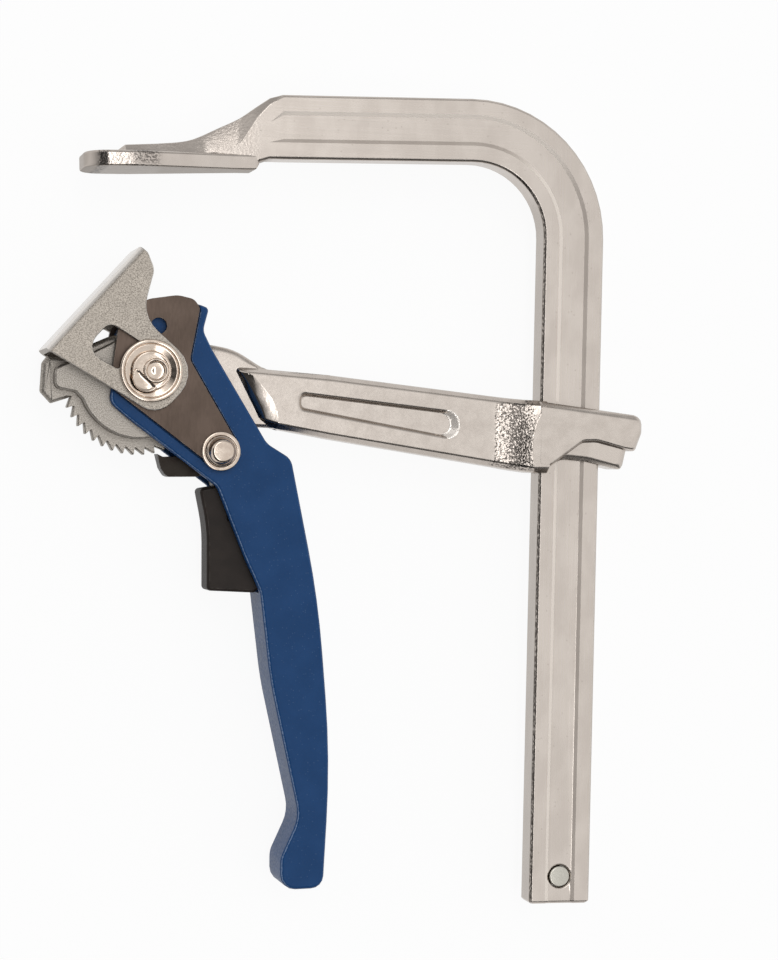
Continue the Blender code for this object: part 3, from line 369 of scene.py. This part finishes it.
def painted_hollow_reflections(tree, leaning):
    """Painted dark reflections as flecks in the collar's hollow, on faces that lean towards the hub, densest
    in its middle.
    """
    hollow = zone(tree, (157.5, -96, 0), (10, 30, 30), 0.25)
    middle = zone(tree, (159, -96, 0), (5, 30, 30), 0.8)
    noise = maths(tree, "SUBTRACT", grain(tree, 0.75, detail=5.0), times(tree, middle, 0.10))
    return times(tree, hollow, ramp(tree, noise, 0.40, 0.54, 0.9, 0.0), ramp(tree, leaning, 0.0, 0.2))


def forged_steel():
    """Drop forging under plating: faintly orange-peeled faces, a sandy sector, and a polished ramp, pocket end
    and collar, with painted dark reflections in the collar's hollow and a painted highlight on the pocket end."""
    look, tree = new_look("forged_steel", Metallic=1.0)
    sector = zone(tree, (-2, -85, 0), (42, 40, 30), 0.1)
    tongue_ramp = zone(tree, (57, -86, 0), (18, 40, 40), 0.05)
    pocket_end = zone(tree, (133.5, -93.5, 0), (4.2, 9, 30), 0.2)
    collar = zone(tree, (157.8, -96, 0), (9.2, 30, 30), 0.45)
    leaning = use(tree, LEANING, least=0.03)
    # Painted highlight: the pocket end's leaning faces made pale, and less metal below
    painted_crescent_highlight = times(tree, pocket_end, ramp(tree, leaning, 0.1, 0.9))
    hammered = times(tree, largest(tree, collar, pocket_end), leaning)
    polished = largest(tree, hammered, times(tree, leaning, tongue_ramp))
    peel = grain(tree, 0.9)
    sand = grain(tree, 0.3)
    clouds = ramp(tree, grain(tree, 6, detail=5.0), 0.35, 0.65)
    smooth = blend(tree, clouds, (0.50, 0.447, 0.402, 1), (0.55, 0.495, 0.447, 1))
    sandy = blend(tree, ramp(tree, sand, 0.34, 0.66), (0.175, 0.156, 0.137, 1), (0.54, 0.50, 0.45, 1))
    tint = layered(
        tree, blend(tree, sector, smooth, sandy),
        # Painted dark reflections in the collar's hollow
        (painted_hollow_reflections(tree, leaning), 1.0, (0.06, 0.052, 0.047, 1)),
        (painted_crescent_highlight, 1.0, (0.86, 0.80, 0.74, 1)))
    rough = roughened(tree, spread(tree, peel, 0.22, 0.3), (sector, 0.5), (polished, 0.12))
    lumps = times(tree, grain(tree, 0.85, (1.1, 0.9, 1), 4.0), hammered)
    skin = maths(tree, "ADD", peel, times(tree, sand, sector, 1.5))
    normal = bump(tree, lumps, 0.22, 0.9, bump(tree, skin, 0.02, 0.5))
    # Less metal under the painted highlight on the pocket end
    metallic = maths(tree, "SUBTRACT", 1.0, times(tree, painted_crescent_highlight, 0.6))
    return finished(look, Base_Color=tint, Roughness=rough, Metallic=metallic, Normal=normal)


def folded_steel():
    """Tumbled and dull plated sheet: a sandy grey, bright wear on its edges, and a painted sheen on the faces
    that look the pressing way.
    """
    look, tree = new_look("folded_steel", Metallic=1.0)
    sand = grain(tree, 0.45, detail=4.0)
    clouds = grain(tree, 7, detail=4.0)
    pressing = place(tree, "ShaderNodeVectorMath", {0: coordinates(tree, "Normal"), 1: PRESSING},
                     operation="DOT_PRODUCT").outputs["Value"]
    # Edge wear, and a painted sheen on the faces that look the pressing way
    wear_and_web_sheen = largest(tree, edge_wear(tree, 2, 0.3), ramp(tree, pressing, 0.3, 0.75, 0.0, 0.9))
    grey = blend(tree, ramp(tree, sand, 0.32, 0.68), (0.150, 0.132, 0.114, 1), (0.50, 0.452, 0.395, 1))
    tint = layered(tree, grey, (spread(tree, clouds), 0.3, (0.27, 0.243, 0.212, 1)),
                   (wear_and_web_sheen, 1.0, (0.80, 0.76, 0.72, 1)))
    rough = roughened(tree, spread(tree, sand, 0.36, 0.5), (wear_and_web_sheen, 0.24))
    return finished(look, Base_Color=tint, Roughness=rough, Normal=bump(tree, sand, 0.06, 0.6))


def browned_steel():
    """Oiled, browned plate: smooth and cloudy, with the rolling direction just showing."""
    look, tree = new_look("browned_steel", Metallic=1.0)
    rolled = grain(tree, 0.5, (1, 0.15, 1), 2.0)
    brown = blend(tree, spread(tree, grain(tree, 14)), (0.077, 0.057, 0.046, 1), (0.100, 0.074, 0.060, 1))
    tint = layered(tree, brown, (edge_wear(tree, 1.5, 0.8), 0.6, (0.42, 0.38, 0.33, 1)))
    return finished(look, Base_Color=tint, Roughness=spread(tree, rolled, 0.34, 0.44),
                    Normal=bump(tree, rolled, 0.012, 0.5))


def nickel():
    """Warm bright nickel on turned steel, with a thin cloudy film and a fine grain."""
    look, tree = new_look("nickel", Metallic=1.0)
    film = grain(tree, 2.5, detail=4.0)
    tint = blend(tree, spread(tree, film), (0.55, 0.455, 0.38, 1), (0.62, 0.53, 0.45, 1))
    return finished(look, Base_Color=tint, Roughness=spread(tree, film, 0.10, 0.19),
                    Normal=bump(tree, grain(tree, 0.25, detail=2.0), 0.012, 0.5))


def black_steel():
    """Blackened hardened steel, worn grey on its edges."""
    look, tree = new_look("black_steel", Metallic=1.0)
    clouds = grain(tree, 4, detail=4.0)
    black = blend(tree, spread(tree, clouds), (0.018, 0.0145, 0.0125, 1), (0.034, 0.029, 0.025, 1))
    tint = layered(tree, black, (edge_wear(tree, 1, 0.7), 0.7, (0.34, 0.32, 0.30, 1)))
    return finished(look, Base_Color=tint, Roughness=spread(tree, clouds, 0.34, 0.5),
                    Normal=bump(tree, clouds, 0.03, 0.5))


def spring_steel():
    """Bright drawn steel with fine lines along Z."""
    look, tree = new_look("spring_steel", Metallic=1.0)
    drawn = grain(tree, 0.2, (1, 1, 0.2), 2.0)
    tint = blend(tree, spread(tree, drawn), (0.43, 0.415, 0.37, 1), (0.53, 0.51, 0.455, 1))
    return finished(look, Base_Color=tint, Roughness=spread(tree, drawn, 0.2, 0.34),
                    Normal=bump(tree, drawn, 0.01, 0.5))


# Paint and moulding
def blue_paint():
    """Powder paint: a fine orange peel, sparse pale grit, and pale edges, edge wear with a painted highlight
    that is strongest on the edges facing -X, the trigger's side.
    """
    look, tree = new_look("blue_paint", Specular_IOR_Level=0.13)
    peel = grain(tree, 1.0, detail=2.0)
    grit = specks(tree, 0.8, 0.12)
    across = axes_of(tree, coordinates(tree, "Normal"))[0]
    # Edge wear made much paler on the edges that face -X: a painted highlight, with a little edge wear
    # elsewhere
    painted_highlight = times(tree, edge_wear(tree, 0.8, 0.5), ramp(tree, across, -0.5, -0.1, 0.95, 0.12))
    blue = blend(tree, spread(tree, grain(tree, 12)), (0.0075, 0.048, 0.150, 1), (0.0105, 0.056, 0.170, 1))
    tint = layered(tree, blue, (grit, 0.22, (0.12, 0.19, 0.32, 1)), (painted_highlight, 1.0, (0.24, 0.33, 0.50, 1)))
    return finished(look, Base_Color=tint, Roughness=spread(tree, peel, 0.32, 0.44),
                    Normal=bump(tree, grit, 0.05, 0.7, bump(tree, peel, 0.09, 0.7)))


def black_moulding():
    """Warm black plastic with a fine spark-eroded texture."""
    look, tree = new_look("black_moulding", Specular_IOR_Level=0.22)
    sand = grain(tree, 0.35)
    clouds = spread(tree, grain(tree, 8, detail=2.0))
    black = blend(tree, clouds, (0.0160, 0.0110, 0.0085, 1), (0.0230, 0.0160, 0.0125, 1))
    tint = layered(tree, black, (edge_wear(tree, 1.5, 0.5), 0.5, (0.11, 0.10, 0.09, 1)))
    return finished(look, Base_Color=tint, Roughness=spread(tree, sand, 0.46, 0.62),
                    Normal=bump(tree, sand, 0.05, 0.6))


LOOKS = {make.__name__: make() for make in (
    plated_steel, forged_steel, folded_steel, browned_steel, nickel, black_steel, spring_steel, blue_paint,
    black_moulding)}


# Making pieces
def as_piece(name, bm, look, body, nodes, flat_faces=True, soft=SOFT):
    """The finished mesh as a piece that rides its body and stands for CAD nodes. With flat_faces, its flat
    faces don't shade round towards its rounded edges."""
    mesh = bpy.data.meshes.new(name)
    bm.to_mesh(mesh)
    bm.free()
    if "custom_normal" in mesh.attributes:  # a copied node brings its own, which would blur the sharp edges
        mesh.attributes.remove(mesh.attributes["custom_normal"])
    mesh.shade_smooth()
    mesh.set_sharp_from_angle(angle=soft)
    mesh.materials.append(LOOKS[look])
    piece = bpy.data.objects.new(name, mesh)
    bpy.context.scene.collection.objects.link(piece)
    if flat_faces:
        level = piece.modifiers.new("Flat faces stay flat", "WEIGHTED_NORMAL")
        level.keep_sharp = True
    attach(piece, body)
    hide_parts(*nodes)


def roomy(edge, width, sharp):
    """Whether an edge can be rounded by a width without running over the far end of a short neighbour."""
    for vert in edge.verts:
        along = (edge.other_vert(vert).co - vert.co).normalized()
        for other in vert.link_edges:
            away = other.other_vert(vert).co - vert.co
            runs_on = other in sharp and along.dot(away.normalized()) < -0.6  # nearly straight
            if other is not edge and away.length < 1.6 * width and not runs_on:
                return False
    return True


def dressed(name, node, look, body, widths, corner=CORNER, segments=2, soft=SOFT):
    """A piece from a CAD node: its loose triangles joined into whole faces, and its edges rounded, by the
    first width in mm where there is room and by the next one where there isn't. Inner corners take only
    the last width."""
    bm = bmesh.new()
    bm.from_mesh(frame["nodes"][node].data)
    bmesh.ops.remove_doubles(bm, verts=bm.verts, dist=WELD)
    bmesh.ops.dissolve_limit(bm, angle_limit=FLAT, verts=bm.verts, edges=bm.edges)
    marks = bm.verts.layers.float.new(EDGES)
    for width in widths:
        sharp = {e for e in bm.edges if e.is_manifold and e.calc_face_angle() > corner}
        fits = [e for e in sharp if roomy(e, width * MM, sharp) and (e.is_convex or width == widths[-1])]
        made = bmesh.ops.bevel(bm, geom=fits, offset=width * MM, affect="EDGES", segments=segments,
                               profile=0.5, material=-1, clamp_overlap=False)
        strips = set(made["faces"])
        for vert in {vert for face in strips for vert in face.verts}:
            vert[marks] = max(vert[marks], float(strips.issuperset(vert.link_faces)))
    as_piece(name, bm, look, body, [node], soft=soft)


def fillet(corners, steps=4):
    """A profile's points from corners (radius, height, rounding), in mm, with a curve at each rounding."""
    points = []
    for i, (radius, height, rounding) in enumerate(corners):
        here = Vector((radius, height))
        if not rounding or i in (0, len(corners) - 1):
            points.append(here)
            continue
        back = Vector(corners[i - 1][:2]) - here
        ahead = Vector(corners[i + 1][:2]) - here
        reach = min(rounding, 0.48 * back.length, 0.48 * ahead.length)
        start, end = here + back.normalized() * reach, here + ahead.normalized() * reach
        for step in range(steps + 1):
            t = step / steps
            points.append(start * (1 - t) ** 2 + here * 2 * t * (1 - t) + end * t ** 2)
    return points


def spun(bm, centre, corners, side=1, segments=72):
    """Adds a turned shape to a mesh, from the corners of its half section in mm."""
    chain = [bm.verts.new((centre.x + p.x * MM, centre.y, p.y * MM * side)) for p in fillet(corners)]
    edges = [bm.edges.new(pair) for pair in zip(chain, chain[1:])]
    bmesh.ops.spin(bm, geom=chain + edges, cent=(centre.x, centre.y, 0), axis=(0, 0, 1),
                   angle=2 * math.pi, steps=segments, use_merge=True)
    bmesh.ops.remove_doubles(bm, verts=bm.verts, dist=0.001 * MM)


def closed(bm):
    """The mesh with its faces turned outwards."""
    bmesh.ops.recalc_face_normals(bm, faces=bm.faces)
    return bm


# Turned pieces
def cap_washer(suffix, side):
    """The dished washer: a round bead, a thin groove and a polished cone down to the shaft."""
    low, high = WASHER_FOOT, WASHER_TOP
    bm = bmesh.new()
    spun(bm, SHAFT, [
        (6.3, low, 0), (12.0, low, 0.2), (12.0, high - 0.3, 0.4), (11.3, high, 0.6), (10.5, high - 0.15, 0.3),
        (10.25, high - 0.55, 0.12), (10.0, high - 0.2, 0.2), (9.6, high - 0.25, 0.3), (7.4, low + 0.4, 0.5),
        (6.3, low + 0.35, 0.1), (6.3, low, 0)], side)
    as_piece(f"dished_washer_{suffix}", closed(bm), "nickel", "cap_washers", [f"cap_washer_{suffix}"],
             flat_faces=False)


def half_moon(bm, low):
    """The half disc struck up on the shaft's end, a round rim with a hollow in it, drawn up from its outline
    one level after the other."""
    inward = Vector((math.sin(HALF_MOON_SLOPE), -math.cos(HALF_MOON_SLOPE)))
    inset = inward * (0.42 * HALF_MOON_RADIUS)  # from the straight side to a point well inside
    inside = SHAFT.to_2d() / MM + HALF_MOON_CENTRE + inset
    outline = []
    for step in range(HALF_MOON_STEPS):
        turn = 2 * math.pi * step / HALF_MOON_STEPS
        ray = Vector((math.cos(turn), math.sin(turn)))
        along = inset.dot(ray)
        to_arc = math.sqrt(along ** 2 + HALF_MOON_RADIUS ** 2 - inset.length_squared) - along
        to_side = inset.length / max(-inward.dot(ray), 0.01)
        # The shorter of the two, eased where they cross
        reach = (to_arc ** -HALF_MOON_CORNER + to_side ** -HALF_MOON_CORNER) ** (-1 / HALF_MOON_CORNER)
        spot = inside + ray * reach
        outline.append(bm.verts.new((spot.x * MM, spot.y * MM, low * MM)))
    top = bm.faces.new(outline)
    about_inside = Matrix.Translation((-inside.x * MM, -inside.y * MM, 0))
    for (share, rise), (next_share, next_rise) in zip(HALF_MOON_LEVELS, HALF_MOON_LEVELS[1:]):
        top = bmesh.ops.extrude_discrete_faces(bm, faces=[top])["faces"][0]
        growth = next_share / share
        bmesh.ops.scale(bm, vec=(growth, growth, 1), space=about_inside, verts=top.verts)
        bmesh.ops.translate(bm, vec=(0, 0, (next_rise - rise) * MM), verts=top.verts)
    bm.faces.new(outline)  # the foot, which the first level took away


def add_mesh(bm, other):
    """Puts another bmesh's shape into this one."""
    mesh = bpy.data.meshes.new("joined")
    other.to_mesh(mesh)
    other.free()
    bm.from_mesh(mesh)
    bpy.data.meshes.remove(mesh)


def shaft_end(bm, side):
    """One formed end of the eccentric shaft, drawn on the front and mirrored for the rear."""
    low = WASHER_FOOT + 0.8
    work = bmesh.new()
    spun(work, SHAFT, [(0, low, 0), (7.3, low, 0.1), (7.3, low + 0.75, 0.3), (6.9, low + 0.9, 0.3),
                       (6.0, low + 0.62, 0.4), (5.2, low + 0.6, 0), (0, low + 0.6, 0)])
    boss = SHAFT + Vector((1.6, 0, 0)) * MM
    spun(work, boss, [(0, low + 0.4, 0), (4.9, low + 0.4, 0), (4.8, low + 1.5, 0.35), (4.2, low + 1.9, 0.4),
                      (3.7, low + 1.6, 0.3), (3.2, low + 0.95, 0.5), (1.6, low + 0.9, 0.5),
                      (0.8, low + 1.1, 0.5), (0, low + 1.15, 0)])
    half_moon(work, low + 0.7)
    if side < 0:
        bmesh.ops.transform(work, matrix=Matrix.Scale(-1, 4, (0, 0, 1)), verts=work.verts)
    add_mesh(bm, closed(work))


def eccentric_shaft():
    """The thick journal in the hub, the thinner ends off its centre, and their formed heads."""
    bm = bmesh.new()
    reach = WASHER_FOOT + 1.0
    spun(bm, LEVER, [(0, -7.5, 0), (10.5, -7.5, 0.3), (10.5, 7.5, 0.3), (0, 7.5, 0)])
    spun(bm, SHAFT, [(0, -reach, 0), (6.0, -reach, 0), (6.0, reach, 0), (0, reach, 0)])
    closed(bm)
    for _, side in SIDES:
        shaft_end(bm, side)
    as_piece("shaft_with_formed_ends", bm, "nickel", "lever", ["eccentric_shaft"], flat_faces=False)


def pawl_rivet():
    """The shank with a formed head at each end: a collar, a hollow neck and a raised flat button."""
    bm = bmesh.new()
    top = abs(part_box("pawl_rivet")[1].z) / MM
    under = top - 3.8
    half = [(4.0, under - 0.05, 0), (5.9, under, 0.1), (5.9, under + 0.5, 0.25), (5.3, under + 0.85, 0.5),
            (4.75, top - 1.4, 0.5), (4.35, top - 0.5, 0.3), (3.7, top, 0.35), (0, top, 0)]
    spun(bm, RIVET, [(radius, -height, rounding) for radius, height, rounding in reversed(half)] + half)
    as_piece("formed_rivet", closed(bm), "nickel", "lever", ["pawl_rivet"], flat_faces=False)


def rivet_washer(suffix, side):
    """The flat washer under the rivet's head, with a shallow step round its hole."""
    low, high = (abs(corner.z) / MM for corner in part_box("rivet_washer_front"))
    bm = bmesh.new()
    spun(bm, RIVET, [
        (4.3, low, 0), (7.5, low, 0.15), (7.5, high, 0.45), (6.2, high, 0.2), (6.05, high - 0.2, 0.1),
        (4.3, high - 0.2, 0), (4.3, low, 0)], side)
    as_piece(f"flat_washer_{suffix}", closed(bm), "nickel", "lever", [f"rivet_washer_{suffix}"],
             flat_faces=False)


def stop_pin():
    """The pin through the rail's end, its rims rounded."""
    low, high = (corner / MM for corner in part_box("stop_pin"))
    bm = bmesh.new()
    spun(bm, (low + high) / 2 * MM, [(0, low.z, 0), (4.1, low.z, 0.5), (4.1, high.z, 0.5), (0, high.z, 0)])
    as_piece("rail_stop_pin", closed(bm), "spring_steel", "rail", ["stop_pin"], flat_faces=False)


# The clamp
def build_clamp():
    """The pieces dressed from CAD nodes, the turned ones, and the looks of the hidden nodes."""
    dressed("plated_rail", "rail_bar", "plated_steel", "rail", (0.35,), corner=math.radians(30), segments=3,
            soft=math.radians(19))
    dressed("forged_arm", "sliding_arm", "forged_steel", "arm", (0.75, 0.2), segments=4)
    dressed("painted_handle", "handle", "blue_paint", "lever", (0.5, 0.2), corner=math.radians(40))
    dressed("folded_cap", "pressure_cap", "folded_steel", "cap", (0.35, 0.15))
    dressed("ratchet_pawl", "pawl", "black_steel", "pawl", (0.25,))
    dressed("finger_trigger", "trigger", "black_moulding", "pawl", (0.3,))
    for suffix, side in SIDES:
        dressed(f"browned_cheek_{suffix}", f"cheek_plate_{suffix}", "browned_steel", "lever", (0.2,))
        cap_washer(suffix, side)
        rivet_washer(suffix, side)
    eccentric_shaft()
    pawl_rivet()
    stop_pin()
    for node, look in (("pawl_spacer", "black_steel"), ("pawl_spring", "spring_steel"),
                       ("trigger_pin", "black_steel")):
        for slot in frame["nodes"][node].material_slots:
            slot.material = LOOKS[look]


# Stage
def pale_floor():
    """A pale floor just under the clamp, almost white to the camera and in mirrors and glass, with the
    clamp's shadow on it."""
    look, tree = new_look("pale_floor", Base_Color=(0.9, 0.9, 0.9, 1), Roughness=0.9, Specular_IOR_Level=0.1)
    ray = place(tree, "ShaderNodeLightPath").outputs
    direct = largest(tree, ray["Is Camera Ray"], ray["Is Glossy Ray"], ray["Is Transmission Ray"])
    white = place(tree, "ShaderNodeEmission", {"Color": (1, 1, 1, 1), "Strength": 1.0}).outputs[0]
    painted = tree.nodes["Principled BSDF"].outputs[0]
    mixed = place(tree, "ShaderNodeMixShader", {0: times(tree, direct, FLOOR_WHITE), 1: painted, 2: white})
    feed(tree, tree.nodes["Material Output"].inputs["Surface"], mixed.outputs[0])
    bm = bmesh.new()
    bmesh.ops.create_grid(bm, x_segments=1, y_segments=1, size=3.0)
    mesh = bpy.data.meshes.new("floor")
    bm.to_mesh(mesh)
    bm.free()
    mesh.materials.append(look)
    floor = bpy.data.objects.new("floor", mesh)
    floor.location.z = cad_box[0][2] - FLOOR_GAP
    bpy.context.scene.collection.objects.link(floor)


def dome():
    """A pale dome that is white to the camera, with a dark flag high on the left, a dark near end and a half
    dark far end."""
    world = bpy.data.worlds.new("studio")
    bpy.context.scene.world = world
    world.use_nodes = True
    tree = world.node_tree
    x, y, z = axes_of(tree, coordinates(tree, "Generated"))
    beyond_flag = ramp(tree, x, -0.30, -0.14, 0.06, 1.0)
    below_flag = ramp(tree, z, 0.34, 0.46, 0.85, 0.0)
    behind_flag = ramp(tree, y, 0.2, 0.4)
    near_end = ramp(tree, y, -0.68, -0.42, 0.1, 1.0)
    far_end = ramp(tree, y, 0.5, 0.8, 1.0, 0.5)
    level = times(tree, largest(tree, beyond_flag, below_flag, behind_flag), near_end, far_end, DOME_LEVEL)
    grey = place(tree, "ShaderNodeCombineColor", {0: level, 1: level, 2: level}).outputs[0]
    seen = place(tree, "ShaderNodeLightPath").outputs["Is Camera Ray"]
    feed(tree, tree.nodes["Background"].inputs["Color"], blend(tree, seen, grey, (1, 1, 1, 1)))


def softbox():
    """One long soft lamp overhead, out of the camera's sight."""
    lamp = bpy.data.lights.new("softbox", "AREA")
    lamp.shape = "RECTANGLE"
    lamp.size, lamp.size_y = 1.0, 8.0
    lamp.energy = 82
    box = bpy.data.objects.new("softbox", lamp)
    box.location = (-0.13, -0.1, 6.0)
    box.visible_camera = False
    bpy.context.scene.collection.objects.link(box)


def camera():
    """A long lens, 1 m away and leaning 14 degrees to the left of straight above."""
    target, distance = Vector((0.1095, -0.1165, 0)), 1.0
    lean, roll = math.radians(14), math.radians(1.3)
    away = Vector((-math.sin(lean), 0, math.cos(lean)))
    level, up = Vector((math.cos(lean), 0, math.sin(lean))), Vector((0, 1, 0))
    right = level * math.cos(roll) + up * math.sin(roll)
    over = up * math.cos(roll) - level * math.sin(roll)
    turned = Matrix((right, over, away)).transposed().to_4x4()
    data = bpy.data.cameras.new("camera")
    data.sensor_width = 36
    data.lens = 95.25
    data.clip_start = 0.01
    view = bpy.data.objects.new("camera", data)
    view.matrix_world = Matrix.Translation(target + away * distance) @ turned
    bpy.context.scene.collection.objects.link(view)
    bpy.context.scene.camera = view


build_clamp()
pale_floor()
dome()
softbox()
camera()
bpy.context.scene.view_settings.view_transform = "Standard"
